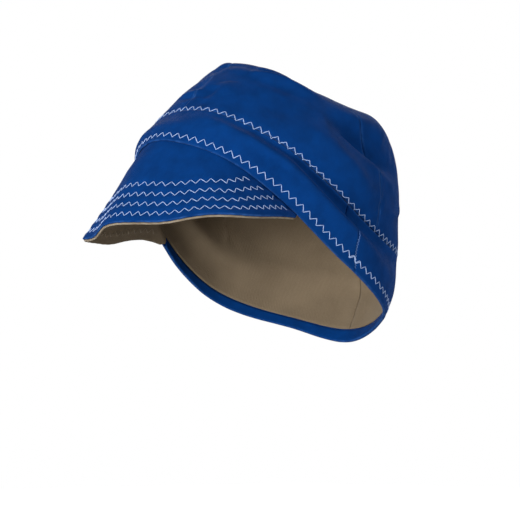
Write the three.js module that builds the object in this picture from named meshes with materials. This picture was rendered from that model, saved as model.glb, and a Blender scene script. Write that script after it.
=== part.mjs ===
// A welder's soft cap with a short soft brim, in the form that a head gives it: a crown
// of three panels, a wide band sewn round it, and a brim of two layers that hangs from
// the band's front. Millimetres, +Z up, the front toward -Y and the wearer's left
// toward +X. The origin is on the head's axis, half way up the cap.

import * as THREE from 'three';

// Cloth
const drillThickness = 1.3;
const liningThickness = 1.1;
const gap = 0.3;

// The cap's surface runs through these rings, from the band's lower edge to the top.
// Each row has a ring's radius and height at every 30 degrees, from the front, 0, round
// to the back, 180. The other half mirrors it.
const ringStep = 30;
const rings = [
  { name: 'band edge', radius: [83, 78, 71, 75, 84, 86, 87], height: [61, 50, 23, -10, -36, -50, -61] },
  { name: 'band middle', radius: [74, 75, 74, 76, 85, 94, 99], height: [72, 64, 44, 13, -13, -30, -37] },
  { name: 'crown seam', radius: [62, 65, 71, 74, 82, 97, 104], height: [82, 77, 60, 33, 7, -7, -14] },
  { name: 'lower crown', radius: [51, 55, 65, 74, 84, 98, 107], height: [93, 87, 72, 51, 30, 15, 9] },
  { name: 'middle crown', radius: [43, 47, 56, 67, 81, 98, 108], height: [100, 96, 85, 72, 58, 48, 44] },
  { name: 'upper crown', radius: [32, 35, 43, 53, 68, 87, 96], height: [108, 105, 99, 89, 82, 79, 76] },
  { name: 'top', radius: [23, 25, 30, 37, 47, 63, 70], height: [113, 112, 109, 104, 95, 94, 94] },
];
const top = new THREE.Vector3(0, -7, 115);
const topLevel = rings.length;

// Dents, and folds where the depth is negative: where each one is, by angle and level
// of ring, how far it spreads each way, and its depth.
const dents = [
  { name: 'left rear dent', angle: 113, level: 4.25, wide: 12, high: 0.34, depth: 6 },
  { name: 'left rear crease', angle: 128, level: 3.85, wide: 10, high: 0.14, depth: 2.5 },
  { name: 'left side bulge', angle: 100, level: 2.9, wide: 16, high: 0.35, depth: -2.5 },
  { name: 'left band valley', angle: 92, level: 1.72, wide: 26, high: 0.24, depth: 4 },
  { name: 'left band ridge', angle: 66, level: 0.95, wide: 34, high: 0.26, depth: -2 },
  { name: 'right rear dent', angle: -110, level: 4.4, wide: 14, high: 0.36, depth: 4.5 },
  { name: 'right side bulge', angle: -98, level: 2.9, wide: 18, high: 0.35, depth: -2 },
  { name: 'right band valley', angle: -88, level: 1.72, wide: 28, high: 0.24, depth: 3.5 },
  { name: 'right band ridge', angle: -62, level: 0.95, wide: 34, high: 0.26, depth: -1.5 },
  { name: 'top hollow', angle: 150, level: 5.9, wide: 26, high: 0.4, depth: 2 },
];

// Panels of the crown meet along the front and at this angle on each side of it.
const seamAngle = 120;
const seamLevel = 2;
const crownTipLevel = 6.96;
const bandRows = 7;
const crownRows = 11;
const columnStep = 6;

// The lining stops short of the band's edge, where the hem is folded.
const liningLevel = 0.34;

// The brim is a fan of straight ribs. Each row has the place of a rib's root on the
// band's edge, the rib's reach from there, its heading from straight ahead and its dip
// below level.
const ribs = [
  { root: -77, reach: 5, heading: -10, dip: 10 },
  { root: -62, reach: 37, heading: -8, dip: 33 },
  { root: -48, reach: 53, heading: -7, dip: 43 },
  { root: -33, reach: 64, heading: -6, dip: 50 },
  { root: -19, reach: 67, heading: -2, dip: 57 },
  { root: -4, reach: 67, heading: 1, dip: 55 },
  { root: 11, reach: 66, heading: 6, dip: 53 },
  { root: 25, reach: 62, heading: 12, dip: 49 },
  { root: 40, reach: 52, heading: 20, dip: 39 },
  { root: 54, reach: 41, heading: 27, dip: 29 },
  { root: 69, reach: 5, heading: 32, dip: 32 },
];
const brimTuckLevel = 0.2;
const brimTuckShare = 0.1;
const brimRows = 8;
const brimColumns = 30;

const colours = {
  drill: { color: 0x0a3a7c, roughness: 0.9, metalness: 0 },
  lining: { color: 0x9a8a72, roughness: 0.95, metalness: 0 },
};

function catmullRom(before, start, end, after, share) {
  const slope = (end - before) / 2;
  const nextSlope = (after - start) / 2;
  const rise = end - start;
  const cubic = slope + nextSlope - 2 * rise;
  const square = 3 * rise - 2 * slope - nextSlope;
  return start + share * (slope + share * (square + share * cubic));
}

// A value at any angle, from a ring's half table.
function aroundRing(values, angle) {
  const count = 2 * (values.length - 1);
  const place = ((angle / ringStep) % count + count) % count;
  const index = Math.floor(place);
  const at = (i) => {
    const wrapped = (i + count) % count;
    return values[Math.min(wrapped, count - wrapped)];
  };
  return catmullRom(at(index - 1), at(index), at(index + 1), at(index + 2), place - index);
}

// A ring's point. Past the top, it is the point of the ring across from it.
function ringPoint(index, angle) {
  if (index === topLevel) return top.clone();
  if (index > topLevel) return ringPoint(2 * topLevel - index, angle + 180);
  if (index < 0) return ringPoint(0, angle).multiplyScalar(2).sub(ringPoint(1, angle));
  const radius = aroundRing(rings[index].radius, angle);
  const turn = THREE.MathUtils.degToRad(angle);
  return new THREE.Vector3(
    radius * Math.sin(turn),
    -radius * Math.cos(turn),
    aroundRing(rings[index].height, angle),
  );
}

function smoothPoint(level, angle) {
  const index = Math.min(Math.floor(level), topLevel - 1);
  const points = [-1, 0, 1, 2].map((step) => ringPoint(index + step, angle));
  const mix = (axis) => catmullRom(...points.map((point) => point[axis]), level - index);
  return new THREE.Vector3(mix('x'), mix('y'), mix('z'));
}

// How far a surface moves for each unit of its two values, and its outward normal.
function surfaceFrame(surface, level, angle) {
  const small = 0.02;
  const side = 0.5;
  const upward = surface(level + small, angle).sub(surface(level - small, angle)).divideScalar(2 * small);
  const around = surface(level, angle + side).sub(surface(level, angle - side)).divideScalar(2 * side);
  return { upward, around, normal: around.clone().cross(upward).normalize() };
}

function dentDepth(level, angle) {
  return dents.reduce((sum, dent) => {
    const turn = ((angle - dent.angle + 540) % 360 + 360) % 360 - 180;
    const across = turn / dent.wide;
    const along = (level - dent.level) / dent.high;
    return sum + dent.depth * Math.exp(-(across * across + along * along) / 2);
  }, 0);
}

// The cap's outer surface, or a surface as far inside it as the inset.
function capPoint(level, angle, inset = 0) {
  const frameLevel = Math.min(level, topLevel - 0.06);
  const { normal } = surfaceFrame(smoothPoint, frameLevel, angle);
  return smoothPoint(level, angle).addScaledVector(normal, -dentDepth(level, angle) - inset);
}

function steps(from, to, count) {
  return Array.from({ length: count + 1 }, (_, i) => from + ((to - from) * i) / count);
}

// A closed sheet of cloth. point(row, column, side) is on its outer side, 0, or its
// inner side, 1. A loop joins its last column to its first one, and a peak draws the
// last row together into one point.
function sheetGeometry(rows, columns, point, { loop = false, peak = false } = {}) {
  const positions = [];
  const indices = [];
  const grids = [0, 1].map((side) => {
    const add = (row, column) => positions.push(...point(row, column, side).toArray()) / 3 - 1;
    const grid = steps(0, rows - (peak ? 1 : 0), rows - (peak ? 1 : 0)).map((row) =>
      steps(0, columns - (loop ? 1 : 0), columns - (loop ? 1 : 0)).map((column) => add(row, column)));
    if (peak) grid.push(Array(grid[0].length).fill(add(rows, 0)));
    return grid;
  });
  const corner = (side, row, column) => grids[side][row][loop ? column % columns : column];
  const triangle = (a, b, c) => {
    if (a !== b && b !== c && c !== a) indices.push(a, b, c);
  };
  const quad = (a, b, c, d) => {
    triangle(a, b, c);
    triangle(a, c, d);
  };
  for (let row = 0; row < rows; row += 1) {
    for (let column = 0; column < columns; column += 1) {
      const [a, b, c, d] = [[0, 0], [0, 1], [1, 1], [1, 0]].map(([up, along]) =>
        corner(0, row + up, column + along));
      const [e, f, g, h] = [[0, 0], [0, 1], [1, 1], [1, 0]].map(([up, along]) =>
        corner(1, row + up, column + along));
      quad(a, b, c, d);
      quad(e, h, g, f);
      if (row === 0) quad(b, a, e, f);
      if (row === rows - 1 && !peak) quad(d, c, g, h);
      if (column === 0 && !loop) quad(a, d, h, e);
      if (column === columns - 1 && !loop) quad(c, b, f, g);
    }
  }
  const geometry = new THREE.BufferGeometry();
  geometry.setAttribute('position', new THREE.Float32BufferAttribute(positions, 3));
  geometry.setIndex(indices);
  geometry.computeVertexNormals();
  return geometry;
}

function mesh(name, geometry, colour) {
  const piece = new THREE.Mesh(geometry, new THREE.MeshStandardMaterial(colour));
  piece.name = name;
  return piece;
}

// The levels of a piece's rows, kept half a gap clear of a seam that goes round the cap.
function belowSeam(level, angle) {
  return level - gap / 2 / surfaceFrame(smoothPoint, level, angle).upward.length();
}

function aboveSeam(level, angle) {
  return level + gap / 2 / surfaceFrame(smoothPoint, level, angle).upward.length();
}

function crownPanel(name, from, to) {
  const levels = steps(seamLevel, crownTipLevel, crownRows);
  const columns = Math.round((to - from) / columnStep);
  const edgeShift = (level, angle) =>
    gap / 2 / surfaceFrame(smoothPoint, level, angle).around.length();
  const point = (row, column, side) => {
    const start = from + edgeShift(levels[row], from);
    const end = to - edgeShift(levels[row], to);
    const angle = start + ((end - start) * column) / columns;
    const level = row === 0 ? aboveSeam(seamLevel, angle) : levels[row];
    return capPoint(level, angle, side * drillThickness);
  };
  return mesh(name, sheetGeometry(crownRows, columns, point), colours.drill);
}

function band() {
  const levels = steps(0, seamLevel, bandRows);
  const point = (row, column, side) => {
    const angle = column * columnStep;
    const level = row === bandRows ? belowSeam(seamLevel, angle) : levels[row];
    return capPoint(level, angle, side * drillThickness);
  };
  return mesh('band', sheetGeometry(bandRows, 360 / columnStep, point, { loop: true }), colours.drill);
}

function crownLining() {
  const levels = [
    liningLevel,
    ...steps(0, seamLevel, bandRows).filter((level) => level > liningLevel),
    ...steps(seamLevel, crownTipLevel, crownRows).slice(1, -1),
    topLevel,
  ];
  const point = (row, column, side) =>
    capPoint(levels[row], column * columnStep, drillThickness + gap + side * liningThickness);
  const geometry = sheetGeometry(levels.length - 1, 360 / columnStep, point, { loop: true, peak: true });
  return mesh('crown_lining', geometry, colours.lining);
}

// A value between the ribs, by station: 0 is the first rib and 1 is the last one.
function alongRibs(column, station) {
  const last = ribs.length - 1;
  const index = Math.min(Math.floor(station * last), last - 1);
  const at = (i) => {
    if (i < 0) return 2 * ribs[0][column] - ribs[1][column];
    if (i > last) return 2 * ribs[last][column] - ribs[last - 1][column];
    return ribs[i][column];
  };
  return catmullRom(at(index - 1), at(index), at(index + 1), at(index + 2), station * last - index);
}

// The brim's upper surface. share is 0 at its outer edge and 1 at the end of the
// stretch that is tucked up behind the band.
function brimPoint(share, station) {
  const root = alongRibs('root', station);
  const inset = drillThickness + gap;
  const hang = 1 - brimTuckShare;
  if (share > hang) {
    return capPoint(((share - hang) / brimTuckShare) * brimTuckLevel, root, inset);
  }
  const heading = THREE.MathUtils.degToRad(alongRibs('heading', station));
  const dip = THREE.MathUtils.degToRad(alongRibs('dip', station));
  const along = new THREE.Vector3(
    Math.sin(heading) * Math.cos(dip),
    -Math.cos(heading) * Math.cos(dip),
    -Math.sin(dip),
  );
  const reach = alongRibs('reach', station) * (1 - share / hang);
  return capPoint(0, root, inset).addScaledVector(along, reach);
}

function brimLayer(name, depth, thickness, colour) {
  const hang = 1 - brimTuckShare;
  const shares = [...steps(0, hang, brimRows - 1), 1];
  const point = (row, column, side) => {
    const share = shares[row];
    const station = column / brimColumns;
    const step = 0.01;
    const up = brimPoint(Math.min(share + step, 1), station).sub(brimPoint(Math.max(share - step, 0), station));
    const before = brimPoint(share, Math.max(station - step, 0));
    const across = brimPoint(share, Math.min(station + step, 1)).sub(before);
    const normal = across.cross(up).normalize();
    return brimPoint(share, station).addScaledVector(normal, -depth - side * thickness);
  };
  return mesh(name, sheetGeometry(brimRows, brimColumns, point), colour);
}

const cap = new THREE.Group();
cap.add(
  crownPanel('crown_left', 0, seamAngle),
  crownPanel('crown_back', seamAngle, 360 - seamAngle),
  crownPanel('crown_right', 360 - seamAngle, 360),
  band(),
  crownLining(),
  brimLayer('brim_top', 0, drillThickness, colours.drill),
  brimLayer('brim_lining', drillThickness + gap, liningThickness, colours.lining),
);

export default cap;
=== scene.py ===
import math
import random
from functools import partial

import bpy
import numpy as np
from mathutils import Matrix, Vector, noise
from mathutils.bvhtree import BVHTree


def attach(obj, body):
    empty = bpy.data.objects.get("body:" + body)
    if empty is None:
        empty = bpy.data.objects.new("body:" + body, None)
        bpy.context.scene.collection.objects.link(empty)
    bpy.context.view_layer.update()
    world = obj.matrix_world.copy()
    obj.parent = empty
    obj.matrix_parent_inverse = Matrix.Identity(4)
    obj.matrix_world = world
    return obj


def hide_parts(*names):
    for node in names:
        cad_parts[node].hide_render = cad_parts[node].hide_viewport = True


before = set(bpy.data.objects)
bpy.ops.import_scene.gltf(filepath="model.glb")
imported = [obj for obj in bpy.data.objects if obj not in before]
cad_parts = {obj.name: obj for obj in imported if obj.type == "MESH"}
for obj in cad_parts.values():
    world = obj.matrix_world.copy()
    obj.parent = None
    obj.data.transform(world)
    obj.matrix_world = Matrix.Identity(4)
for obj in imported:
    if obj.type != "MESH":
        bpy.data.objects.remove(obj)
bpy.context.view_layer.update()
mm = 0.001  # every table below is in millimetres and degrees
farAway = 1e3  # stands for no seam near
noWear = 9  # as far from a seam as the wear needs to know


# Camera, at the photograph's angle
cameraView = {
    "turn": 46.0,
    "rise": -4.0,
    "distance": 1586.0,
    "lens": 170.23,
    "sensor": 36.0,
    "pixel": 0.645,  # millimetres to a pixel at the cap's middle
    "middle": (253, 245),  # where the cap's origin falls in the 520 by 520 picture
    "pictureHalf": 260,
    "clipEnd": 60,
}


# A direction from a turn, 0 at the front and 90 at the cap's left, and a rise
def direction(turn, rise):
    turn, rise = math.radians(turn), math.radians(rise)
    return Vector((math.sin(turn) * math.cos(rise), -math.cos(turn) * math.cos(rise), math.sin(rise)))


def makeCamera():
    view = cameraView
    back = direction(view["turn"], view["rise"])
    right = direction(view["turn"] + 90, 0)
    up = back.cross(right)
    sideways = (view["pictureHalf"] - view["middle"][0]) * view["pixel"]
    upward = (view["middle"][1] - view["pictureHalf"]) * view["pixel"]
    place = (right * sideways + up * upward + back * view["distance"]) * mm
    data = bpy.data.cameras.new("camera")
    data.lens = view["lens"]
    data.sensor_width = view["sensor"]
    data.clip_end = view["clipEnd"]
    camera = bpy.data.objects.new("camera", data)
    bpy.context.collection.objects.link(camera)
    camera.matrix_world = Matrix.Translation(place) @ Matrix((right, up, back)).transposed().to_4x4()
    bpy.context.scene.camera = camera


makeCamera()
print("camera set")


# The cap's form: rings from the band's edge, level 0, to the top, level 7
capForm = {
    "ringStep": 30,
    "radius": [
        [83, 78, 71, 75, 84, 86, 87],
        [74, 75, 74, 76, 85, 94, 99],
        [62, 65, 71, 74, 82, 97, 104],
        [51, 55, 65, 74, 84, 98, 107],
        [43, 47, 56, 67, 81, 98, 108],
        [32, 35, 43, 53, 68, 87, 96],
        [23, 25, 30, 37, 47, 63, 70],
    ],
    "height": [
        [61, 50, 23, -10, -36, -50, -61],
        [72, 64, 44, 13, -13, -30, -37],
        [82, 77, 60, 33, 7, -7, -14],
        [93, 87, 72, 51, 30, 15, 9],
        [100, 96, 85, 72, 58, 48, 44],
        [108, 105, 99, 89, 82, 79, 76],
        [113, 112, 109, 104, 95, 94, 94],
    ],
    "top": (0, -7, 115),
    "seams": (0, 120, 240),
    "seamLevel": 2,
    "tipLevel": 6.982,
    "steadyLevel": 6.94,  # the outward direction is kept from here to the top
}

# Broad dents: angle, level, spread each way, depth (bulges are negative)
capDents = [
    (112, 4.28, 11, 0.32, 7.5),
    (128, 3.85, 10, 0.14, 2.5),
    (100, 2.9, 16, 0.35, -2.5),
    (92, 1.72, 26, 0.24, 4),
    (66, 0.95, 34, 0.26, -2),
    (-110, 4.4, 14, 0.36, 4.5),
    (-98, 2.9, 18, 0.35, -2),
    (-88, 1.72, 28, 0.24, 3.5),
    (-62, 0.95, 34, 0.26, -1.5),
    (150, 5.9, 26, 0.4, 2),
]

# Folds in the cloth: the line each one follows (angle, level), its width and its depth
clothFolds = [
    ([(103, 4.4), (110, 4.3), (116, 4.1), (121, 3.86), (127, 3.62)], 4.2, 3.4),
    ([(104, 4.9), (114, 4.84), (126, 4.84), (138, 4.9)], 3.4, -1.8),
    ([(127, 4.25), (132, 4.55), (139, 4.85)], 3.0, -2.4),
    ([(136, 4.0), (141, 4.3), (147, 4.6)], 2.2, 1.5),
    ([(112, 3.74), (122, 3.56), (134, 3.4)], 3.2, -1.5),
    ([(124, 3.2), (121, 2.8), (116, 2.4)], 1.6, 0.9),
    ([(150, 3.4), (141, 3.05), (128, 2.7)], 1.5, -1.0),
    ([(30, 1.92), (54, 1.8), (74, 1.71), (94, 1.64), (112, 1.61), (132, 1.64)], 4.5, 2.5),
    ([(10, 1.5), (28, 1.42), (44, 1.2), (69, 1.3), (86, 1.22), (106, 1.04), (122, 1.04)], 3.6, -2.6),
    ([(40, 0.75), (62, 0.72), (84, 0.62)], 3.4, 1.2),
    ([(64, 2.35), (84, 2.32), (106, 2.3)], 3.6, -1.2),
    ([(76, 3.7), (88, 3.35), (99, 3.06), (111, 2.8)], 5.0, -2.7),
    ([(44, 4.2), (57, 3.85), (76, 4.1), (92, 4.2)], 9.0, 2.8),
    ([(11, 2.7), (13, 3.3), (17, 3.9)], 3.2, 2.0),
    ([(23, 4.4), (25, 3.9), (28, 3.3)], 4.6, -1.8),
    ([(-3, 4.5), (-5, 3.9), (-3, 3.4)], 2.6, 0.9),
    ([(-24, 3.5), (-6, 3.2), (9, 3.25)], 1.9, -1.3),
    ([(-20, 3.05), (-4, 2.82), (8, 2.86)], 1.8, 1.1),
    ([(5, 2.7), (12, 2.45), (22, 2.35)], 2.2, 0.6),
    ([(40, 5.5), (60, 5.6), (78, 5.6), (98, 5.42)], 2.6, -3.0),
    ([(50, 5.98), (76, 5.98), (98, 5.8)], 2.8, 1.7),
    ([(44, 5.15), (66, 5.05), (92, 5.0)], 3.8, 1.4),
    ([(-44, 6.0), (-26, 6.4), (-4, 6.6)], 3.6, -1.6),
    ([(-14, 5.2), (-8, 5.7), (4, 6.2)], 3.0, 1.4),
    ([(56, 6.35), (75, 6.25), (94, 6.1)], 2.8, -1.1),
    ([(150, 5.6), (166, 5.2), (184, 5.3)], 5.0, 1.4),
    ([(158, 2.5), (176, 2.9), (196, 2.7)], 6.0, 1.1),
    ([(150, 1.9), (172, 1.84), (200, 1.88), (226, 1.84)], 3.4, 1.1),
    ([(160, 1.2), (180, 1.35), (204, 1.2)], 4.5, -0.7),
    ([(208, 4.6), (222, 4.3), (236, 4.2)], 4.0, 1.3),
    ([(-104, 4.1), (-116, 3.9), (-130, 4.05)], 3.0, 1.6),
    ([(-100, 3.6), (-114, 3.45), (-128, 3.5)], 4.0, -1.0),
    ([(-30, 1.88), (-58, 1.86), (-84, 1.82), (-112, 1.85)], 3.2, 1.5),
    ([(-28, 1.15), (-60, 1.05), (-96, 1.05)], 5.0, -0.8),
    ([(-40, 4.6), (-60, 4.3), (-80, 4.5)], 6.0, 1.2),
    ([(-30, 3.2), (-48, 3.6), (-66, 3.4)], 5.0, -0.8),
]

clothWaves = {
    "broad": (24.0, 0.7),  # size and depth of the soft unevenness
    "fine": (8.0, 0.16),
    "puckerSize": 4.4,  # of the small waves that the stitches draw up
    "puckerDepth": 0.384,
    "puckerReach": 4.5,
    "panelPucker": 0.7,  # the share of it beside the seams between panels
    "puckerShift": 31.7,  # takes these waves from another part of the noise
}

foldShape = {
    "points": 12,  # along each fold's line
    "reach": 3.5,  # in widths of the fold
    "endClear": 0.02,
    "taper": 0.7,
}


def catmullRom(before, start, end, after, share):
    slope = (end - before) / 2
    nextSlope = (after - start) / 2
    rise = end - start
    cubic = slope + nextSlope - 2 * rise
    square = 3 * rise - 2 * slope - nextSlope
    return start + share * (slope + share * (square + share * cubic))


def aroundRing(values, angle):
    loop = np.array(values + values[-2:0:-1], float)
    place = np.mod(angle / capForm["ringStep"], len(loop))
    index = np.floor(place).astype(int)
    near = [loop[(index + step) % len(loop)] for step in (-1, 0, 1, 2)]
    return catmullRom(*near, place - index)


def ringPoint(index, angle):
    topLevel = len(capForm["radius"])
    if index == topLevel:
        return np.broadcast_to(np.array(capForm["top"], float), angle.shape + (3,))
    if index > topLevel:
        return ringPoint(2 * topLevel - index, angle + 180)
    if index < 0:
        return 2 * ringPoint(0, angle) - ringPoint(1, angle)
    radius = aroundRing(capForm["radius"][index], angle)
    turn = np.radians(angle)
    height = aroundRing(capForm["height"][index], angle)
    return np.stack([radius * np.sin(turn), -radius * np.cos(turn), height], -1)


def smoothPoint(level, angle):
    level, angle = np.broadcast_arrays(np.asarray(level, float), np.asarray(angle, float))
    flatLevel, flatAngle = level.ravel(), angle.ravel()
    topLevel = len(capForm["radius"])
    index = np.clip(np.floor(flatLevel).astype(int), 0, topLevel - 1)
    rings = np.stack([ringPoint(ring, flatAngle) for ring in range(-1, topLevel + 2)])
    each = np.arange(len(index))
    near = [rings[index + step, each] for step in (0, 1, 2, 3)]
    return catmullRom(*near, (flatLevel - index)[:, None]).reshape(level.shape + (3,))


def lengthOf(vectors):
    return np.linalg.norm(vectors, axis=-1)


def unit(vectors):
    return vectors / lengthOf(vectors)[..., None]


def bell(distance, wide):
    return np.exp(-(distance / wide) ** 2)


def turnApart(angle, other):
    return np.abs(np.mod(angle - other + 180, 360) - 180)


def surfaceFrame(level, angle):
    small, side = 0.02, 0.5
    upward = (smoothPoint(level + small, angle) - smoothPoint(level - small, angle)) / (2 * small)
    around = (smoothPoint(level, angle + side) - smoothPoint(level, angle - side)) / (2 * side)
    return upward, around, unit(np.cross(around, upward))


# Length round the cap at one level, between two angles
def lengthRound(level, start, end, samples=400):
    return lengthOf(surfaceFrame(level, np.linspace(start, end, samples))[1]).mean() * (end - start)


def dentDepth(level, angle):
    depth = np.zeros(level.shape)
    for dentAngle, dentLevel, wide, high, deep in capDents:
        across = turnApart(angle, dentAngle) / wide
        along = (level - dentLevel) / high
        depth += deep * np.exp(-(across ** 2 + along ** 2) / 2)
    return depth


# How far each point is from a line of points, and how far along the line that is
def lineDistance(points, line):
    nearest = np.full(len(points), np.inf)
    place = np.zeros(len(points))
    for index in range(len(line) - 1):
        step = line[index + 1] - line[index]
        share = np.clip((points - line[index]) @ step / (step @ step), 0, 1)
        apart = lengthOf(points - line[index] - share[:, None] * step)
        closer = apart < nearest
        nearest = np.where(closer, apart, nearest)
        place = np.where(closer, (index + share) / (len(line) - 1), place)
    return nearest, place


# Levels and angles at a number of places along some knots, each an angle and a level
def alongKnots(knots, count):
    knots = np.array(knots, float)
    at = np.linspace(0, len(knots) - 1, count)
    return [np.interp(at, range(len(knots)), knots[:, column]) for column in (1, 0)]


foldLines = [smoothPoint(*alongKnots(line, foldShape["points"])) for line, _, _ in clothFolds]


def foldDepth(points):
    flat = points.reshape(-1, 3)
    depth = np.zeros(len(flat))
    clear = foldShape["endClear"]
    for (_, wide, deep), line in zip(clothFolds, foldLines):
        middle = line.mean(axis=0)
        reach = lengthOf(line - middle).max() + foldShape["reach"] * wide
        near = np.nonzero(lengthOf(flat - middle) < reach)[0]
        if len(near):
            apart, place = lineDistance(flat[near], line)
            taper = np.sin(np.pi * np.clip(place, clear, 1 - clear)) ** foldShape["taper"]
            depth[near] += deep * taper * np.exp(-(apart / wide) ** 2 / 2)
    return depth.reshape(points.shape[:-1])


def noiseAt(points):
    values = [noise.noise(Vector(point)) for point in points.reshape(-1, 3)]
    return np.array(values).reshape(points.shape[:-1])


def waveDepth(points):
    return sum(deep * noiseAt(points / size) for size, deep in (clothWaves["broad"], clothWaves["fine"]))


# How far places on the cap are from the band's seam, and from the seams between panels
def seamDistances(level, angle):
    upward, around, _ = surfaceFrame(np.minimum(level, capForm["steadyLevel"]), angle)
    crossing = np.abs(level - capForm["seamLevel"]) * lengthOf(upward)
    panel = np.minimum.reduce([turnApart(angle, seam) for seam in capForm["seams"]]) * lengthOf(around)
    return crossing, np.where(level < capForm["seamLevel"], farAway, panel)


def puckerDepth(points, crossing, panel):
    reach = clothWaves["puckerReach"]
    near = np.exp(-crossing / reach) + clothWaves["panelPucker"] * np.exp(-panel / reach)
    waves = noiseAt(points / clothWaves["puckerSize"] + clothWaves["puckerShift"])
    return clothWaves["puckerDepth"] * near * waves


# The cap's outer surface, and its outward direction
def capSurface(level, angle):
    level, angle = np.broadcast_arrays(np.asarray(level, float), np.asarray(angle, float))
    points = smoothPoint(level, angle)
    normal = surfaceFrame(np.minimum(level, capForm["steadyLevel"]), angle)[2]
    crossing, panel = seamDistances(level, angle)
    depth = dentDepth(level, angle) + foldDepth(points) + waveDepth(points)
    depth += puckerDepth(points, crossing, panel)
    return points - normal * depth[..., None], normal


def clothMap(grid):
    along = np.cumsum(lengthOf(np.diff(grid, axis=0, prepend=grid[:1])), axis=0)
    across = np.cumsum(lengthOf(np.diff(grid, axis=1, prepend=grid[:, :1])), axis=1)
    across = across - across[:, across.shape[1] // 2][:, None]
    return np.stack([across, along], -1) * mm


def makePiece(name, mesh, material, slotName):
    mesh.shade_smooth()
    mesh.materials.append(material)
    piece = bpy.data.objects.new(name, mesh)
    bpy.context.collection.objects.link(piece)
    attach(piece, "root")
    return piece


def loopVertices(mesh):
    loops = np.empty(len(mesh.loops), int)
    mesh.loops.foreach_get("vertex_index", loops)
    return loops


# A closed sheet of cloth between two depths under a surface, in place of a CAD node where one is named
def makeSheet(name, surface, depths, edgeDistance, cloth, node=None, folded=False):
    points, normal = surface
    outer, inner = [points - normal * np.broadcast_to(depth, edgeDistance.shape)[..., None] for depth in depths]
    if folded:  # the first row is where the outer side turns in
        inner[0] = outer[0]
    sides = [np.s_[0], np.s_[-1], np.s_[:, 0], np.s_[:, -1]]
    for side in sides[1:] if folded else sides:
        inner[side] = outer[side] = (outer[side] + inner[side]) / 2
    rows, columns = edgeDistance.shape
    outerIds = np.arange(rows * columns).reshape(rows, columns)
    innerIds = outerIds.copy()
    innerIds[1:-1, 1:-1] = rows * columns + np.arange((rows - 2) * (columns - 2)).reshape(rows - 2, -1)
    points = np.concatenate([outer.reshape(-1, 3), inner[1:-1, 1:-1].reshape(-1, 3)])
    faces = []
    for ids, order in ((outerIds, 1), (innerIds, -1)):
        quads = np.stack([ids[:-1, :-1], ids[:-1, 1:], ids[1:, 1:], ids[1:, :-1]], -1).reshape(-1, 4)
        faces += quads[:, ::order].tolist()
    mesh = bpy.data.meshes.new(name)
    mesh.from_pydata(points * mm, [], faces)
    both = np.concatenate([outerIds.ravel(), outerIds[1:-1, 1:-1].ravel()])  # the outer point of each point
    spread = clothMap(outer).reshape(-1, 2)[both]
    distance = edgeDistance.reshape(-1)[both]
    mesh.uv_layers.new(name="cloth").uv.foreach_set("vector", spread[loopVertices(mesh)].ravel())
    mesh.attributes.new("seamDistance", "FLOAT", "POINT").data.foreach_set("value", distance * mm)
    piece = makePiece(name, mesh, *cloth)
    if node:
        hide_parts(node)
    return piece


# The outer or the inner side of some sheets, to lay stitches on
def meshTree(pieces, side="outer"):
    points, faces = [], []
    for piece in pieces:
        start = len(points)
        points += [vertex.co.copy() for vertex in piece.data.vertices]
        half = len(piece.data.polygons) // 2
        polygons = piece.data.polygons[:half] if side == "outer" else piece.data.polygons[half:]
        faces += [[start + index for index in polygon.vertices] for polygon in polygons]
    return BVHTree.FromPolygons(points, faces)


# Links a socket to another, or gives it a value
def feed(tree, socket, value):
    if isinstance(value, bpy.types.NodeSocket):
        tree.links.new(value, socket)
    elif value is not None:
        socket.default_value = value


def addNode(tree, kind, **values):
    node = tree.nodes.new(kind)
    for key, value in values.items():
        if hasattr(node, key):
            setattr(node, key, value)
        else:
            node.inputs[key].default_value = value
    return node


def mathNode(tree, operation, first, second=None, clamp=False):
    node = addNode(tree, "ShaderNodeMath", operation=operation, use_clamp=clamp)
    feed(tree, node.inputs[0], first)
    feed(tree, node.inputs[1], second)
    return node.outputs[0]


def noiseNode(tree, vector, scale, detail=2):
    node = addNode(tree, "ShaderNodeTexNoise", Detail=detail)
    feed(tree, node.inputs["Vector"], vector)
    feed(tree, node.inputs["Scale"], scale)
    return node.outputs[0]


# A shader group whose inputs are numbers, or vectors where no value is given; it puts out numbers
def newGroup(name, inputs, outputs):
    group = bpy.data.node_groups.new(name, "ShaderNodeTree")
    for label, value in inputs.items():
        kind = "NodeSocketVector" if value is None else "NodeSocketFloat"
        socket = group.interface.new_socket(name=label, in_out="INPUT", socket_type=kind)
        if value is not None:
            socket.default_value = value
    for label in outputs:
        group.interface.new_socket(name=label, in_out="OUTPUT", socket_type="NodeSocketFloat")
    return group, group.nodes.new("NodeGroupInput").outputs, group.nodes.new("NodeGroupOutput").inputs


def splitVector(tree, vector):
    parts = tree.nodes.new("ShaderNodeSeparateXYZ")
    tree.links.new(vector, parts.inputs[0])
    return parts.outputs[0], parts.outputs[1]


# What each weave starts from: yarns counted across and along the cloth, and how far they wander
def startWeave(name, ribLabel, warpScale):
    inputs = {"Cloth": None, "Yarn Pitch": 0.001, ribLabel: 1.0, "Yarn Unevenness": 0.3}
    group, given, result = newGroup(name, inputs, ["Height", "Yarn Tone"])
    work = partial(mathNode, group)
    shift = work("MULTIPLY", noiseNode(group, given["Cloth"], warpScale), given["Yarn Unevenness"])
    counts = [work("DIVIDE", part, given["Yarn Pitch"]) for part in splitVector(group, given["Cloth"])]
    return group, given, result, work, shift, counts


twillShape = {
    "warpScale": 260,  # of the yarns' wandering, to a metre
    "ribHeight": 0.36,
    "yarnHeight": 0.14,
    "middle": 0.5,
    "toneStretch": 0.07,  # yarns keep their tone along their length
    "toneScale": 1.7,
}


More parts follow.
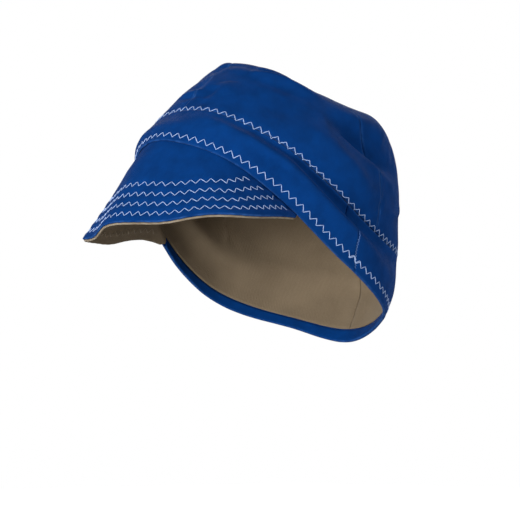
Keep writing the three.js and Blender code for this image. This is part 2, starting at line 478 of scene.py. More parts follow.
# Twill: yarns that float over each other in slanting ribs
def makeTwillGroup():
    shape = twillShape
    group, given, result, work, shift, (across, along) = startWeave("twillWeave", "Rib Slant", shape["warpScale"])
    rib = work("ADD", work("ADD", across, work("MULTIPLY", along, given["Rib Slant"])), shift)
    ribWave = work("SINE", work("MULTIPLY", rib, 2 * math.pi))
    yarnWave = work("SINE", work("MULTIPLY", work("ADD", across, shift), 4 * math.pi))
    yarnHeight = work("MULTIPLY", yarnWave, shape["yarnHeight"])
    height = work("ADD", yarnHeight, work("MULTIPLY", ribWave, shape["ribHeight"]))
    feed(group, result["Height"], work("ADD", height, shape["middle"]))
    yarn = group.nodes.new("ShaderNodeCombineXYZ")
    feed(group, yarn.inputs[0], work("FLOOR", across))
    feed(group, yarn.inputs[1], work("MULTIPLY", work("FLOOR", along), shape["toneStretch"]))
    feed(group, result["Yarn Tone"], noiseNode(group, yarn.outputs[0], shape["toneScale"], 0))
    return group


coarseShape = {"warpScale": 220, "crossHeight": 0.5, "ribHeight": 0.5, "toneScale": 900}


# Plain weave of thick yarns
def makeCoarseGroup():
    shape = coarseShape
    group, given, result, work, shift, counts = startWeave("coarseWeave", "Rib Stretch", shape["warpScale"])
    counts[1] = work("DIVIDE", counts[1], given["Rib Stretch"])
    waves = [work("SINE", work("MULTIPLY", work("ADD", count, shift), math.pi)) for count in counts]
    crossed = work("ABSOLUTE", work("MULTIPLY", waves[0], waves[1]))
    ribs = work("MULTIPLY", work("ABSOLUTE", waves[1]), shape["ribHeight"])
    feed(group, result["Height"], work("ADD", work("MULTIPLY", crossed, shape["crossHeight"]), ribs))
    feed(group, result["Yarn Tone"], noiseNode(group, given["Cloth"], shape["toneScale"]))
    return group


# Cloudy unevenness of dye and handling, in soft patches and small specks
def makeMottleGroup():
    group, given, result = newGroup(
        "clothMottle", {"Place": None, "Patch Size": 0.03, "Speck Size": 0.0016}, ["Patches", "Specks"]
    )
    for label, output, detail in (("Patch Size", "Patches", 3), ("Speck Size", "Specks", 1)):
        scale = mathNode(group, "DIVIDE", 1.0, given[label])
        feed(group, result[output], noiseNode(group, given["Place"], scale, detail))
    return group


wearShape = {"breakLow": 0.32, "breakGain": 2.4}  # how the rubbing is broken up


# Rubbed cloth beside seams and folded edges
def makeWearGroup():
    group, given, result = newGroup(
        "edgeWear", {"Place": None, "Edge Distance": 1.0, "Reach": 0.0014, "Breakup Size": 0.004}, ["Mask"]
    )
    work = partial(mathNode, group)
    near = work("SUBTRACT", 1.0, work("DIVIDE", given["Edge Distance"], given["Reach"]), clamp=True)
    breakup = noiseNode(group, given["Place"], work("DIVIDE", 1.0, given["Breakup Size"]), 3)
    broken = work("SUBTRACT", breakup, wearShape["breakLow"])
    stronger = work("MULTIPLY", broken, wearShape["breakGain"], clamp=True)
    feed(group, result["Mask"], work("MULTIPLY", near, stronger))
    return group


shaderGroups = {
    "twill": makeTwillGroup(),
    "coarse": makeCoarseGroup(),
    "mottle": makeMottleGroup(),
    "wear": makeWearGroup(),
}


def placeGroup(tree, name, values):
    node = tree.nodes.new("ShaderNodeGroup")
    node.node_tree = shaderGroups[name]
    for label, value in values.items():
        feed(tree, node.inputs[label], value)
    return node.outputs


def mixColours(tree, factor, first, second):
    node = addNode(tree, "ShaderNodeMix", data_type="RGBA")
    for index, value in ((0, factor), (6, first), (7, second)):
        feed(tree, node.inputs[index], value)
    return node.outputs[2]


def scaledValue(tree, socket, low, high, start=0.0, end=1.0):
    node = tree.nodes.new("ShaderNodeMapRange")
    for label, value in zip(("Value", "From Min", "From Max", "To Min", "To Max"), (socket, start, end, low, high)):
        feed(tree, node.inputs[label], value)
    return node.outputs[0]


def newMaterial(name):
    material = bpy.data.materials.new(name)
    material.use_nodes = True
    return material, material.node_tree


# Gives the shader its colour, roughness and relief, and what is the same all over
def dressShader(tree, look, colour, specks, height):
    sockets = tree.nodes["Principled BSDF"].inputs
    relief = addNode(tree, "ShaderNodeBump", Strength=look["bumpStrength"], Distance=look["bumpDepth"])
    tree.links.new(height, relief.inputs["Height"])
    tree.links.new(colour, sockets["Base Color"])
    tree.links.new(scaledValue(tree, specks, look["smooth"], look["rough"]), sockets["Roughness"])
    tree.links.new(relief.outputs[0], sockets["Normal"])
    for label, value in look["finish"].items():
        sockets[label].default_value = value


def makeClothMaterial(look):
    material, tree = newMaterial(look["name"])
    work, mix = partial(mathNode, tree), partial(mixColours, tree)
    cloth = addNode(tree, "ShaderNodeUVMap", uv_map="cloth").outputs[0]
    place = tree.nodes.new("ShaderNodeTexCoord").outputs["Object"]
    edge = addNode(tree, "ShaderNodeAttribute", attribute_name="seamDistance").outputs["Fac"]
    weave = placeGroup(tree, look["weave"], {**look["weaveValues"], "Cloth": cloth})
    mottle = placeGroup(tree, "mottle", {**look["mottleValues"], "Place": place})
    wear = placeGroup(tree, "wear", {**look["wearValues"], "Place": place, "Edge Distance": edge})
    colour = mix(scaledValue(tree, mottle["Patches"], 0, 1, *look["patchRange"]), look["deep"], look["main"])
    colour = mix(work("MULTIPLY", weave["Yarn Tone"], look["yarnShare"]), colour, look["light"])
    # Painted shade: the weave's dips are shaded in the colour, on top of the bump's own relief
    hollow = work("SUBTRACT", 1.0, weave["Height"])
    colour = mix(work("MULTIPLY", hollow, look["hollowShare"]), colour, look["hollow"])
    colour = mix(work("MULTIPLY", wear["Mask"], look["wearShare"]), colour, look["rubbed"])
    height = work("ADD", weave["Height"], work("MULTIPLY", mottle["Specks"], look["grainShare"]))
    dressShader(tree, look, colour, mottle["Specks"], height)
    return material


blueDrillLook = {
    "name": "blueDrill",
    "weave": "twill",
    "weaveValues": {"Yarn Pitch": 0.00062, "Rib Slant": 1.0, "Yarn Unevenness": 0.3},
    "mottleValues": {"Patch Size": 0.009, "Speck Size": 0.0013},
    "patchRange": (0.3, 0.7),  # of the patches' values, from deep to main
    "wearValues": {"Reach": 0.0012, "Breakup Size": 0.005},
    "deep": (0.0005, 0.030, 0.150, 1),
    "main": (0.0007, 0.043, 0.213, 1),
    "light": (0.003, 0.064, 0.28, 1),
    # painted shade: the colour painted into the weave's dips
    "hollow": (0.0006, 0.018, 0.085, 1),
    "rubbed": (0.035, 0.125, 0.38, 1),
    "yarnShare": 0.22,
    # painted shade: how far the weave's dips are shaded
    "hollowShare": 0.35,
    "wearShare": 0.7,
    "smooth": 0.74,
    "rough": 0.95,
    "bumpStrength": 0.55,
    "bumpDepth": 0.00016,
    "grainShare": 0.6,
    "finish": {
        "Sheen Weight": 0.08,
        "Sheen Roughness": 0.22,
        "Sheen Tint": (0.78, 0.76, 0.9, 1),
        "Specular IOR Level": 0.05,
    },
}

khakiLiningLook = {
    "name": "khakiLining",
    "weave": "coarse",
    "weaveValues": {"Yarn Pitch": 0.0011, "Rib Stretch": 0.7, "Yarn Unevenness": 0.35},
    "mottleValues": {"Patch Size": 0.02, "Speck Size": 0.0018},
    "patchRange": (0.3, 0.7),
    "wearValues": {"Reach": 0.0012, "Breakup Size": 0.004},
    # deep and main: the khaki's own colour, lowered further as painted shade for the shade beneath the brim
    "deep": (0.185, 0.136, 0.083, 1),
    "main": (0.240, 0.180, 0.113, 1),
    "light": (0.38, 0.30, 0.205, 1),
    # painted shade: the colour painted into the weave's dips
    "hollow": (0.095, 0.068, 0.042, 1),
    "rubbed": (0.50, 0.43, 0.33, 1),
    "yarnShare": 0.35,
    # painted shade: how far the weave's dips are shaded
    "hollowShare": 0.45,
    "wearShare": 0.6,
    "smooth": 0.8,
    "rough": 0.98,
    "bumpStrength": 0.7,
    "bumpDepth": 0.00035,
    "grainShare": 0.4,
    "finish": {
        "Sheen Weight": 0.18,
        "Sheen Roughness": 0.5,
        "Sheen Tint": (0.8, 0.72, 0.6, 1),
        "Specular IOR Level": 0.15,
    },
}

threadLook = {
    "plies": 2.0,  # strands twisted together
    "grooveShadeFactor": 0.7,  # painted shade: how much shade is painted into the furrow between strands
    "mottleValues": {"Patch Size": 0.006, "Speck Size": 0.0004},
    "bumpStrength": 0.8,
    "bumpDepth": 0.00008,
    "smooth": 0.42,
    "rough": 0.7,
    "finish": {"Sheen Weight": 0.12, "Sheen Roughness": 0.35},
    "colours": {
        "paleThread": (0.47, 0.62, 0.95, 1),
        "khakiThread": (0.34, 0.27, 0.185, 1),
        "blueThread": (0.10, 0.22, 0.52, 1),
    },
}


def makeThreadMaterial(name):
    colour = threadLook["colours"][name]
    material, tree = newMaterial(name)
    work = partial(mathNode, tree)
    around, along = splitVector(tree, addNode(tree, "ShaderNodeUVMap", uv_map="strand").outputs[0])
    wound = work("ADD", work("MULTIPLY", around, threadLook["plies"]), along)
    wave = work("SINE", work("MULTIPLY", wound, 2 * math.pi))
    ply = work("ADD", work("MULTIPLY", wave, 0.5), 0.5)
    place = tree.nodes.new("ShaderNodeTexCoord").outputs["Object"]
    mottle = placeGroup(tree, "mottle", {**threadLook["mottleValues"], "Place": place})
    # Painted shade: the furrow between the twisted strands is painted in a deeper tone
    paintedGrooveShade = (*[channel * threadLook["grooveShadeFactor"] for channel in colour[:3]], 1)
    tone = mixColours(tree, ply, paintedGrooveShade, colour)
    dressShader(tree, threadLook, mixColours(tree, mottle["Patches"], tone, colour), mottle["Specks"], ply)
    return material


blueDrill = makeClothMaterial(blueDrillLook)
khakiLining = makeClothMaterial(khakiLiningLook)
threads = {name: makeThreadMaterial(name) for name in threadLook["colours"]}
blueCloth, khakiCloth = (blueDrill, "blue_drill"), (khakiLining, "khaki_lining")
print("materials made:", ", ".join(["blueDrill", "khakiLining", *threads]))


# Crown: three panels of drill
crownCut = {
    "panels": {
        "crownLeft": ("crown_left", 0, 120),
        "crownBack": ("crown_back", 120, 240),
        "crownRight": ("crown_right", 240, 360),
    },
    "spacing": 1.3,
    "rows": 102,
    "halfGap": 0.05,
    "rounding": 0.45,
    "thick": 1.3,
    "sink": 0.3,  # how far the cloth dips into a seam
    "sinkReach": 0.8,
    "panelSink": 0.08,  # the same between panels, which are pressed flat
    "tipRounding": 0.01,
    "allowance": 0.2,  # how far the cloth stands out over the turned edges beneath it
    "allowanceWide": 5.5,
    "allowanceSoft": 1.3,
    "allowanceEnd": (6.7, 0.8),  # the level where it has faded out, and over how many levels
    "wearShare": 0.6,  # brings the wear further out beside the seams between panels
    "measureLevel": 2.5,  # where a panel's width is measured, to set its columns
}


# Rows and columns of a panel of the crown, clear of the seams on all sides
def panelPlaces(start, end, rows, columns, cut):
    low, tip = capForm["seamLevel"], capForm["tipLevel"]
    levels = np.concatenate([[low], np.linspace(low, tip - cut["tipRounding"], rows), [tip]])
    near, far = cut["halfGap"], cut["halfGap"] + cut["rounding"]
    angles = np.empty((len(levels), columns + 2))
    for side, seam, sign in ((0, start, 1), (-1, end, -1)):
        length = lengthOf(surfaceFrame(levels, seam)[1])
        angles[:, side] = seam + sign * near / length
        angles[:, 1 if side == 0 else -2] = seam + sign * far / length
    inner = np.linspace(0, 1, columns)
    angles[:, 1:-1] = angles[:, 1:2] + (angles[:, -2:-1] - angles[:, 1:2]) * inner
    length = lengthOf(surfaceFrame(low, angles[0])[0])
    places = np.empty(angles.shape)
    places[0] = low + near / length
    share = np.linspace(0, 1, rows)[:, None]
    places[1:-1] = (low + far / length) * (1 - share) + (tip - cut["tipRounding"]) * share
    places[-1] = tip
    return places, angles


# Depths of a panel's outer and inner side, and how far its points are from the seams
def panelDepths(levels, angles, cut):
    crossing, panel = seamDistances(levels, angles)
    sink = cut["sink"] * bell(crossing, cut["sinkReach"])
    sink = np.maximum(sink, cut["panelSink"] * bell(panel, cut["sinkReach"]))
    over = (panel - cut["allowanceWide"]) / cut["allowanceSoft"]
    fade = np.clip((cut["allowanceEnd"][0] - levels) / cut["allowanceEnd"][1], 0, 1)
    stand = cut["allowance"] / (1 + np.exp(np.clip(over, -30, 30))) * fade
    return (sink - stand, cut["thick"]), np.minimum(crossing, panel * cut["wearShare"])


def makeCrown():
    pieces = {}
    for name, (node, start, end) in crownCut["panels"].items():
        columns = int(lengthRound(crownCut["measureLevel"], start, end, samples=60) / crownCut["spacing"])
        levels, angles = panelPlaces(start, end, crownCut["rows"], columns, crownCut)
        depths, distance = panelDepths(levels, angles, crownCut)
        pieces[name] = makeSheet(name, capSurface(levels, angles), depths, distance, blueCloth, node)
    return pieces


crown = makeCrown()
print("crown panels:", {name: len(piece.data.polygons) for name, piece in crown.items()})


# Band: one strip round the crown, joined end to end on the left side
bandCut = {
    "joinAngle": 101.0,
    "joinGap": 0.08,
    "spacing": 1.3,
    "rows": 27,
    "measureLevel": 1.0,
    "edgeLevel": 0.05,  # where the distance from the edge is measured
    "edgeRows": (0.0, 0.12, 0.38, 0.78, 1.25),  # distances of the first rows from the folded edge
    "foldRadius": 1.25,
    "plainRadius": 0.65,  # of the edge over the brim, which is not turned in
    "halfGap": 0.05,
    "rounding": 0.45,
    "thick": 1.3,
    "sink": 0.3,
    "sinkReach": 0.8,
    "joinSink": 0.05,
    "hemStart": 70,  # the hem is turned in from here round the back to hemEnd
    "hemEnd": 283,
    "hemEase": 6,
}


def hemShare(angle):
    turn = np.mod(angle, 360)
    rise = np.clip((turn - bandCut["hemStart"]) / bandCut["hemEase"], 0, 1)
    fall = np.clip((bandCut["hemEnd"] - turn) / bandCut["hemEase"], 0, 1)
    return np.minimum(rise, fall)


# Rows at set distances from an edge, and then evenly on to a last place
def rowsFrom(edgeRows, perUnit, last, count):
    edge = [distance / perUnit for distance in edgeRows]
    return edge + [edge[-1] + (last - edge[-1]) * share for share in np.linspace(0, 1, count + 1)[1:]]


def bandRows(angles, cut):
    upAtEdge = lengthOf(surfaceFrame(cut["edgeLevel"], angles)[0])
    upAtSeam = lengthOf(surfaceFrame(capForm["seamLevel"], angles)[0])
    last = capForm["seamLevel"] - cut["halfGap"] / upAtSeam
    lastBut = capForm["seamLevel"] - (cut["halfGap"] + cut["rounding"]) / upAtSeam
    return np.stack([*rowsFrom(cut["edgeRows"], upAtEdge, lastBut, cut["rows"]), last])


# How far a rounded edge has risen at each distance from it
def roundedRise(radius, fromEdge):
    return np.sqrt(np.clip(radius ** 2 - np.clip(radius - fromEdge, 0, None) ** 2, 0, None))


def makeBand():
    cut = bandCut
    start, end = cut["joinAngle"], cut["joinAngle"] + 360
    columns = int(lengthRound(cut["measureLevel"], start, end) / cut["spacing"])
    perDegree = lengthOf(surfaceFrame(cut["measureLevel"], start)[1])
    near, far = cut["joinGap"] / 2 / perDegree, (cut["joinGap"] / 2 + cut["rounding"]) / perDegree
    angles = np.concatenate([[start + near], np.linspace(start + far, end - far, columns), [end - near]])
    levels = bandRows(angles, cut)
    angles = np.broadcast_to(angles, levels.shape)
    crossing = seamDistances(levels, angles)[0]
    sink = cut["sink"] * bell(crossing, cut["sinkReach"])
    sink = sink + cut["joinSink"] * bell(turnApart(angles, start) * perDegree, cut["sinkReach"])
    fromEdge = levels * lengthOf(surfaceFrame(cut["edgeLevel"], angles)[0])
    turned = hemShare(angles)
    radius = cut["plainRadius"] * (1 - turned) + cut["foldRadius"] * turned
    depths = (sink + radius - roundedRise(radius, fromEdge), cut["thick"])
    distance = np.minimum(crossing, fromEdge)
    return makeSheet("sewnBand", capSurface(levels, angles), depths, distance, blueCloth, "band", folded=True)


band = makeBand()
print("band:", len(band.data.polygons), "faces")


# Hem: the band's edge, turned in behind it
hemCut = {
    "start": 72.0,
    "end": 281.0,
    "outerInset": 1.36,
    "thick": 1.14,
    "topLevel": 0.325,
    "rows": 5,
    "spacing": 1.6,
    "rounding": 0.45,
    "measureLevel": 0.2,
    "edgeLevel": 0.05,
    "edgeRows": (0.03, 0.14, 0.4, 0.8, 1.2),
}


def makeHem():
    cut = hemCut
    start, end = cut["start"], cut["end"]
    angles = np.linspace(start, end, int(lengthRound(cut["measureLevel"], start, end) / cut["spacing"]))
    upward = lengthOf(surfaceFrame(cut["edgeLevel"], angles)[0])
    lastBut = cut["topLevel"] - cut["rounding"] / upward
    rows = rowsFrom(cut["edgeRows"], upward, lastBut, cut["rows"])
    levels = np.stack([*rows, np.full(len(angles), cut["topLevel"])])
    angles = np.broadcast_to(angles, levels.shape)
    fromEdge = levels * upward
    depths = (cut["outerInset"], cut["outerInset"] + roundedRise(cut["thick"], fromEdge))
    distance = np.minimum(fromEdge, noWear)
    return makeSheet("hemTurning", capSurface(levels, angles), depths, distance, blueCloth, folded=True)


hemTurning = makeHem()
print("hem turning made")


# Lining: one shell inside the crown and the band
liningCut = {
    "lowLevel": 0.345,
    "tipLevel": 6.985,
    "joinAngle": 180.0,
    "joinGap": 0.02,
    "joinRounding": 0.3,
    "lowRounding": 0.02,
    "tipRounding": 0.008,
    "rows": 74,
    "columns": 280,
    "outerInset": 1.6,
    "innerInset": 2.7,
    "ridge": 0.5,  # the lining's own seams stand in by this much
    "ridgeWide": 1.3,
}


# The same places and two more, close to the first and the last
def doubledEnds(places, low, high):
    return np.concatenate([places[:1], places[:1] + low, places[1:-1], places[-1:] - high, places[-1:]])


def makeLining():
    cut = liningCut
    start, end = cut["joinAngle"] + cut["joinGap"], cut["joinAngle"] + 360 - cut["joinGap"]
    angles = np.linspace(start + cut["joinRounding"], end - cut["joinRounding"], cut["columns"])
    angles = np.concatenate([[start], angles, [end]])
    levels = np.linspace(cut["lowLevel"], cut["tipLevel"], cut["rows"])
    levels = doubledEnds(levels, cut["lowRounding"], cut["tipRounding"])
    levels, angles = np.meshgrid(levels, angles, indexing="ij")
    panel = seamDistances(levels, angles)[1]
    depths = (cut["outerInset"], cut["innerInset"] + cut["ridge"] * bell(panel, cut["ridgeWide"]))
    distance = np.minimum(panel, noWear)
    return makeSheet("crownLining", capSurface(levels, angles), depths, distance, khakiCloth, "crown_lining")


crownLining = makeLining()
print("crown lining:", len(crownLining.data.polygons), "faces")


# Brim: a fan of ribs from the band's edge, in two layers
brimForm = {
    "root": [-77, -62, -48, -33, -19, -4, 11, 25, 40, 54, 69],
    "reach": [4, 36.5, 52.5, 63.5, 67, 67, 66, 62, 52, 41, 3],
    "heading": [-10, -8, -7, -6, -2, 1, 6, 12, 20, 27, 32],
    "dip": [10, 33, 43, 50, 57, 55, 53, 49, 39, 29, 32],
    "inset": 1.6,
    "tuckLevel": 0.2,
    "tuckShare": 0.1,
    "lift": (1.0, 1.1),  # how far the cloth stands up from the ribs: everywhere, and on the right side
    "liftStation": (0.34, 0.2),  # where the second lift is, and how far it spreads
    "liftRise": 14,  # the distance over which the cloth comes up
    "columns": 190,
    "rows": 50,
    "edgeRows": (0.0, 0.14, 0.45, 0.95),
    "lastRow": 0.985,
    "sideRounding": 0.002,
    "stitchRows": (7.2, 15.0, 23.0, 31.3),  # distances from the outer edge
    "channelDeep": 0.38,
    "channelWide": 1.7,
    "scallop": 0.22,
    "scallopSize": 7.0,
    "edgeFade": 2.5,
    "puff": 0.25,  # between the rows of stitches
    "puffSize": 7.8,
    "insideRelief": 0.4,
    "waveShare": 0.7,
    "layers": {
        "brimTop": {"depth": 0.0, "thick": 1.3, "reach": -1.0, "node": "brim_top", "cloth": blueCloth},
        "brimLining": {"depth": 1.5, "thick": 1.1, "reach": -0.35, "node": "brim_lining", "cloth": khakiCloth},
    },
}


def alongRibs(values, station):
    values = np.array([2 * values[0] - values[1], *values, 2 * values[-1] - values[-2]], float)
    last = len(values) - 3
    index = np.clip(np.floor(station * last).astype(int), 0, last - 1)
    near = [values[index + step] for step in (0, 1, 2, 3)]
    return catmullRom(*near, station * last - index)


# The brim's upper surface: share 0 is the outer edge, 1 the end tucked behind the band
def brimPoint(share, station):
    form = brimForm
    share, station = np.broadcast_arrays(share, station)
    root, reach, heading, dip = [alongRibs(form[name], station) for name in ("root", "reach", "heading", "dip")]
    heading, dip = np.radians(heading), np.radians(dip)
    hang = 1 - form["tuckShare"]
    tucked = np.clip((share - hang) / form["tuckShare"], 0, 1) * form["tuckLevel"]
    base, normal = capSurface(tucked, root)
    along = np.stack([np.sin(heading) * np.cos(dip), -np.cos(heading) * np.cos(dip), -np.sin(dip)], -1)
    upright = np.stack([np.sin(heading) * np.sin(dip), -np.cos(heading) * np.sin(dip), np.cos(dip)], -1)
    out = reach * np.clip(1 - share / hang, 0, None)
    beside = bell(station - form["liftStation"][0], form["liftStation"][1])
    lift = (form["lift"][0] + form["lift"][1] * beside) * np.clip(out / form["liftRise"], 0, 1)
    return base - normal * form["inset"] + along * out[..., None] + upright * lift[..., None]


def brimNormal(share, station):
    step = 0.01
    up = brimPoint(np.minimum(share + step, 1), station) - brimPoint(np.maximum(share - step, 0), station)
    across = brimPoint(share, np.minimum(station + step, 1)) - brimPoint(share, np.maximum(station - step, 0))
    return unit(np.cross(across, up))


# How far each point of a grid on the brim is from the brim's edge, its first row
def fromBrimEdge(points):
    return lineDistance(points.reshape(-1, 3), points[0, ::3])[0].reshape(points.shape[:2])


def makeBrimLayer(name):
    form, layer = brimForm, brimForm["layers"][name]
    stations = doubledEnds(np.linspace(0, 1, form["columns"]), form["sideRounding"], form["sideRounding"])
    perShare = alongRibs(form["reach"], stations) / (1 - form["tuckShare"])
    rows = rowsFrom(form["edgeRows"], perShare, form["lastRow"], form["rows"])
    shares = np.stack([*rows, np.ones(len(stations))])
    stations = np.broadcast_to(stations, shares.shape)
    points = brimPoint(shares, stations)
    normal = brimNormal(shares, stations)
    fromEdge = fromBrimEdge(points)
    fromEdge[0] = 0
    along = np.cumsum(lengthOf(np.diff(points[0], axis=0, prepend=points[0, :1])))
    scallop = form["scallop"] * np.abs(np.sin(math.pi * along / form["scallopSize"])) + layer["reach"]
    outward = unit(points[0] - points[len(form["edgeRows"])])
    points = points + outward * (scallop * np.exp(-fromEdge / form["edgeFade"]))[..., None]
    channels = sum(bell(fromEdge - row, form["channelWide"]) for row in form["stitchRows"])
    between = np.clip(fromEdge / form["puffSize"], 0, len(form["stitchRows"]))
    relief = form["channelDeep"] * channels - form["puff"] * np.sin(math.pi * np.mod(between, 1)) ** 2
    depth = layer["depth"] + waveDepth(points) * form["waveShare"]
    depths = (depth + relief, depth + layer["thick"] + relief * form["insideRelief"])
    return makeSheet(name, (points, normal), depths, fromEdge, layer["cloth"], layer["node"])


brimTop = makeBrimLayer("brimTop")
brimLining = makeBrimLayer("brimLining")
print("brim:", len(brimTop.data.polygons) + len(brimLining.data.polygons), "faces")


# Stitches: short threads that dive into the cloth at each needle hole
stitchCut = {
    "sides": 8,
    "steps": 8,
    "sunk": 0.45,  # how far a thread's ends lie under the surface, in thread radii
    "lift": 0.75,
    "flat": 0.85,
    "endShare": 0.72,  # of the radius, at a thread's ends
    "twist": 5,  # the length of one turn of its strands, in radii
    "jitter": 0.05,
}
draws = random.Random(11)


def halfWave(share):
    return math.sin(math.pi * share) ** 0.5


# One stitch from hole to hole: how far it travels along its row, and how far it swings across
def stitchPath(tree, start, travel, swing, side, row):
    path = []
    for index in range(stitchCut["steps"] + 1):
        share = index / stitchCut["steps"]
        part = share * (1 - row["rounded"]) + math.sin(math.pi * share / 2) * row["rounded"]
        spot = Vector(start) + Vector(travel * share + swing * part)
        near, normal, _, _ = tree.find_nearest(spot * mm)
        if normal.dot(Vector(side)) < 0:
            normal = -normal
        rise = (stitchCut["lift"] + stitchCut["sunk"]) * halfWave(share) - stitchCut["sunk"]
        path.append((near / mm + normal * row["radius"] * rise, normal))
    return path


def threadTubes(name, paths, radius, thread, slotName):
    sides, slim = stitchCut["sides"], stitchCut["endShare"]
    points, faces, spread = [], [], []
    for path in paths:
        spots = [spot for spot, _ in path]
        base, last = len(points), len(path) - 1
        travelled = 0.0
        for index, (spot, normal) in enumerate(path):
            before, after = spots[max(index - 1, 0)], spots[min(index + 1, last)]
            tangent = (after - before).normalized()
            lateral = tangent.cross(normal).normalized()
            upright = lateral.cross(tangent)
            travelled += (spot - before).length
            wide = radius * (slim + (1 - slim) * halfWave(index / last))
            for corner in range(sides):
                turn = 2 * math.pi * corner / sides
                offset = lateral * math.cos(turn) + upright * math.sin(turn) * stitchCut["flat"]
                points.append((spot + offset * wide) * mm)
                spread.append((corner / sides, travelled / (radius * stitchCut["twist"])))
        for low in range(base, base + last * sides, sides):
            for corner in range(sides):
                after = (corner + 1) % sides
                faces.append((low + corner, low + sides + corner, low + sides + after, low + after))
        faces.append(tuple(base + corner for corner in range(sides)))
        faces.append(tuple(base + last * sides + corner for corner in reversed(range(sides))))
    mesh = bpy.data.meshes.new(name)
    mesh.from_pydata(points, [], faces)
    places = np.array(spread)[loopVertices(mesh)]
    totals = [polygon.loop_total for polygon in mesh.polygons]
    starts = np.repeat([polygon.loop_start for polygon in mesh.polygons], totals)
    wrap = (places[starts, 0] > 0.5) & (places[:, 0] < 0.5)
    places[:, 0] += wrap  # the face that closes the ring runs on past 1
    mesh.uv_layers.new(name="strand").uv.foreach_set("vector", places.ravel())
    makePiece(name, mesh, threads[thread], slotName)


# Zigzag stitches along a line of points, with the directions across it and off the cloth
def zigzagPaths(tree, line, across, side, row):
    lengths = np.concatenate([[0], np.cumsum(lengthOf(np.diff(line, axis=0)))])
    onward = unit(np.gradient(line, axis=0))
    across = across - onward * (across * onward).sum(axis=1)[:, None]
    count = max(2, round(lengths[-1] / row["period"] * 2))
    stops = np.linspace(0, lengths[-1], count + 1)
    stops = stops + np.array([draws.uniform(-1, 1) for _ in stops]) * stitchCut["jitter"] * row["period"]
    corners = []
    for index, stop in enumerate(np.clip(stops, 0, lengths[-1])):
        spot, aside, out = [
            np.array([np.interp(stop, lengths, column) for column in values.T]) for values in (line, across, side)
        ]
        swing = row["swing"] / 2 * (1 + draws.uniform(-1, 1) * stitchCut["jitter"])
        corners.append((spot, unit(aside) * swing * (1 if index % 2 else -1), out))
    paths = []
    for index, pair in enumerate(zip(corners, corners[1:])):
        low, high = pair[::-1] if index % 2 else pair
        paths.append(stitchPath(tree, low[0] + low[1], high[0] - low[0], high[1] - low[1], low[2], row))
    return paths


bandRowCut = {"period": 6.2, "swing": 3.5, "radius": 0.215, "rounded": 0.05, "points": 1400}
bandRowPlaces = {"upperRow": (2.05, 176.0, 540.0), "lowerRow": (0.32, 97.5, 463.5)}  # level, first and last angle


# Stitches along a line on the cap: they swing up and down where swingWay is 0, and round the cap where it is 1
def makeCapRow(name, levels, angles, swingWay, row, thread):
    line, normal = capSurface(levels, angles)
    paths = zigzagPaths(outerTree, line, surfaceFrame(levels, angles)[swingWay], normal, row)
    threadTubes(name, paths, row["radius"], thread, "pale_thread")


outerTree = meshTree([*crown.values(), band])
for name, (level, first, last) in bandRowPlaces.items():
    makeCapRow(name, level, np.linspace(first, last, bandRowCut["points"]), 0, bandRowCut, "paleThread")
print("band rows made")


# Small stitches that close the band's join: the line they follow (angle, level)
joinTackCut = {
    "line": [(101.8, 1.14), (101.2, 0.8), (100.9, 0.5), (100.9, 0.1)],
    "period": 1.9,
    "swing": 1.1,
    "radius": 0.17,
    "rounded": 0.2,
    "points": 120,
}
makeCapRow("joinTack", *alongKnots(joinTackCut["line"], joinTackCut["points"]), 1, joinTackCut, "blueThread")
print("join tack made")


brimRowCut = {
    "period": 6.2,
    "swing": 3.4,
    "radius": 0.205,
    "rounded": 0.15,
    "clear": 1.2,
    "ruler": ((0, 0.9, 90), (0, 1, 260)),  # first, last and number of its shares, and of its stations
    "underDrop": 2.6,  # from the row above to the brim's under side
    "underShare": 0.9,  # of the radius, below
}


# The brim's surface on a grid, and how far each point is from its outer edge
def brimRuler():
    shares, stations = [np.linspace(*places) for places in brimRowCut["ruler"]]
    points = brimPoint(*np.meshgrid(shares, stations, indexing="ij"))
    return points, np.maximum.accumulate(fromBrimEdge(points), axis=0)


# The line at one distance from the brim's edge, and the directions across it and off it
def brimRowLine(points, fromEdge, distance):
    line, inward = [], []
    for column in np.nonzero(fromEdge[-1] > distance + brimRowCut["clear"])[0]:
        row = np.interp(distance, fromEdge[:, column], np.arange(len(fromEdge)))
        low = min(int(row), len(fromEdge) - 4)
        line.append(points[low, column] + (points[low + 1, column] - points[low, column]) * (row - low))
        inward.append(points[low + 3, column] - points[low, column])
    line, inward = np.array(line), np.array(inward)
    return line, inward, unit(np.cross(np.gradient(line, axis=0), inward))


def makeBrimRows():
    cut = brimRowCut
    topTree, underTree = meshTree([brimTop]), meshTree([brimLining], "inner")
    points, fromEdge = brimRuler()
    for number, distance in enumerate(brimForm["stitchRows"], 1):
        line, across, side = brimRowLine(points, fromEdge, distance)
        paths = zigzagPaths(topTree, line, across, side, cut)
        threadTubes(f"brimRow{number}", paths, cut["radius"], "paleThread", "pale_thread")
        paths = zigzagPaths(underTree, line - side * cut["underDrop"], across, -side, cut)
        underRadius = cut["radius"] * cut["underShare"]
        threadTubes(f"brimUnderRow{number}", paths, underRadius, "khakiThread", "khaki_lining")


makeBrimRows()
print("brim rows made")


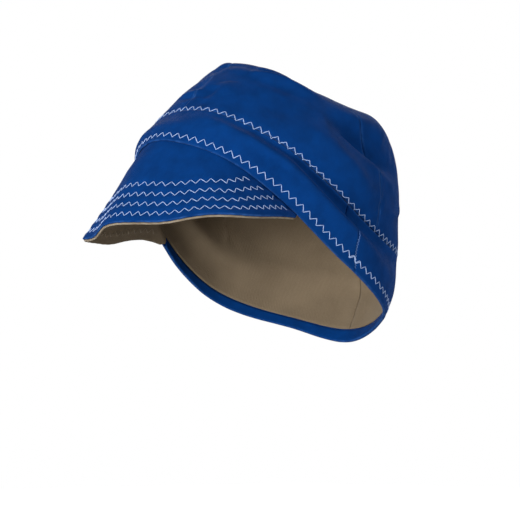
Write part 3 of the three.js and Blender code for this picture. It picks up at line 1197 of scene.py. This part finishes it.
# Studio
studio = {
    "floorHeight": -0.36,
    "floorSize": 14.0,
    "floorFinish": {
        "Base Color": (0.5, 0.5, 0.5, 1),
        "Roughness": 0.9,
        "Specular IOR Level": 0.1,
        "Emission Color": (1, 1, 1, 1),
    },
    "worldColour": (1.0, 1.0, 1.0, 1),
    "floorGlow": 0.75,  # for the camera alone: it makes the floor as pale as the backdrop
    "worldStrength": 0.25,
    "backdropStrength": 1.0,  # what the camera sees of the world
    "softbox": {"turn": 14.0, "rise": -2.0, "far": 2.0, "size": 0.6, "power": 38.0},
    "sunDistance": 3.0,
    "suns": [
        {"name": "highSun", "turn": -14.0, "rise": 48.0, "strength": 0.6, "softness": 30.0},
        {"name": "rightSun", "turn": 122.0, "rise": 10.0, "strength": 1.2, "softness": 16.0},
        {"name": "backSun", "turn": 215.0, "rise": 30.0, "strength": 1.1, "softness": 35.0},
    ],
}


def addLight(data, turn, rise, far):
    light = bpy.data.objects.new(data.name, data)
    light.location = direction(turn, rise) * far
    light.rotation_euler = (-light.location).to_track_quat("-Z", "Y").to_euler()
    bpy.context.collection.objects.link(light)


def makeFloor():
    bpy.ops.mesh.primitive_plane_add(size=studio["floorSize"], location=(0, 0, studio["floorHeight"]))
    floor = bpy.context.object
    floor.name = "floor"
    material, tree = newMaterial("paleFloor")
    sockets = tree.nodes["Principled BSDF"].inputs
    for label, value in studio["floorFinish"].items():
        sockets[label].default_value = value
    forCamera = tree.nodes.new("ShaderNodeLightPath").outputs["Is Camera Ray"]
    tree.links.new(mathNode(tree, "MULTIPLY", forCamera, studio["floorGlow"]), sockets["Emission Strength"])
    floor.data.materials.append(material)


def makeWorld():
    world = bpy.data.worlds.new("softRoom")
    world.use_nodes = True
    tree = world.node_tree
    mixed = tree.nodes.new("ShaderNodeMixShader")
    tree.links.new(tree.nodes.new("ShaderNodeLightPath").outputs["Is Camera Ray"], mixed.inputs[0])
    backdrop = tree.nodes.new("ShaderNodeBackground")
    shades = ((tree.nodes["Background"], "worldStrength"), (backdrop, "backdropStrength"))
    for index, (node, strength) in enumerate(shades, 1):
        node.inputs[0].default_value = studio["worldColour"]
        node.inputs[1].default_value = studio[strength]
        tree.links.new(node.outputs[0], mixed.inputs[index])
    tree.links.new(mixed.outputs[0], tree.nodes["World Output"].inputs[0])
    bpy.context.scene.world = world


def makeStudio():
    makeFloor()
    makeWorld()
    for sun in studio["suns"]:
        data = bpy.data.lights.new(sun["name"], "SUN")
        data.energy = sun["strength"]
        data.angle = math.radians(sun["softness"])
        addLight(data, sun["turn"], sun["rise"], studio["sunDistance"])
    box = studio["softbox"]
    data = bpy.data.lights.new("softbox", "AREA")
    data.energy = box["power"]
    data.size = box["size"]
    addLight(data, box["turn"], box["rise"], box["far"])
    bpy.context.scene.view_settings.view_transform = "Standard"


makeStudio()
print("studio set")
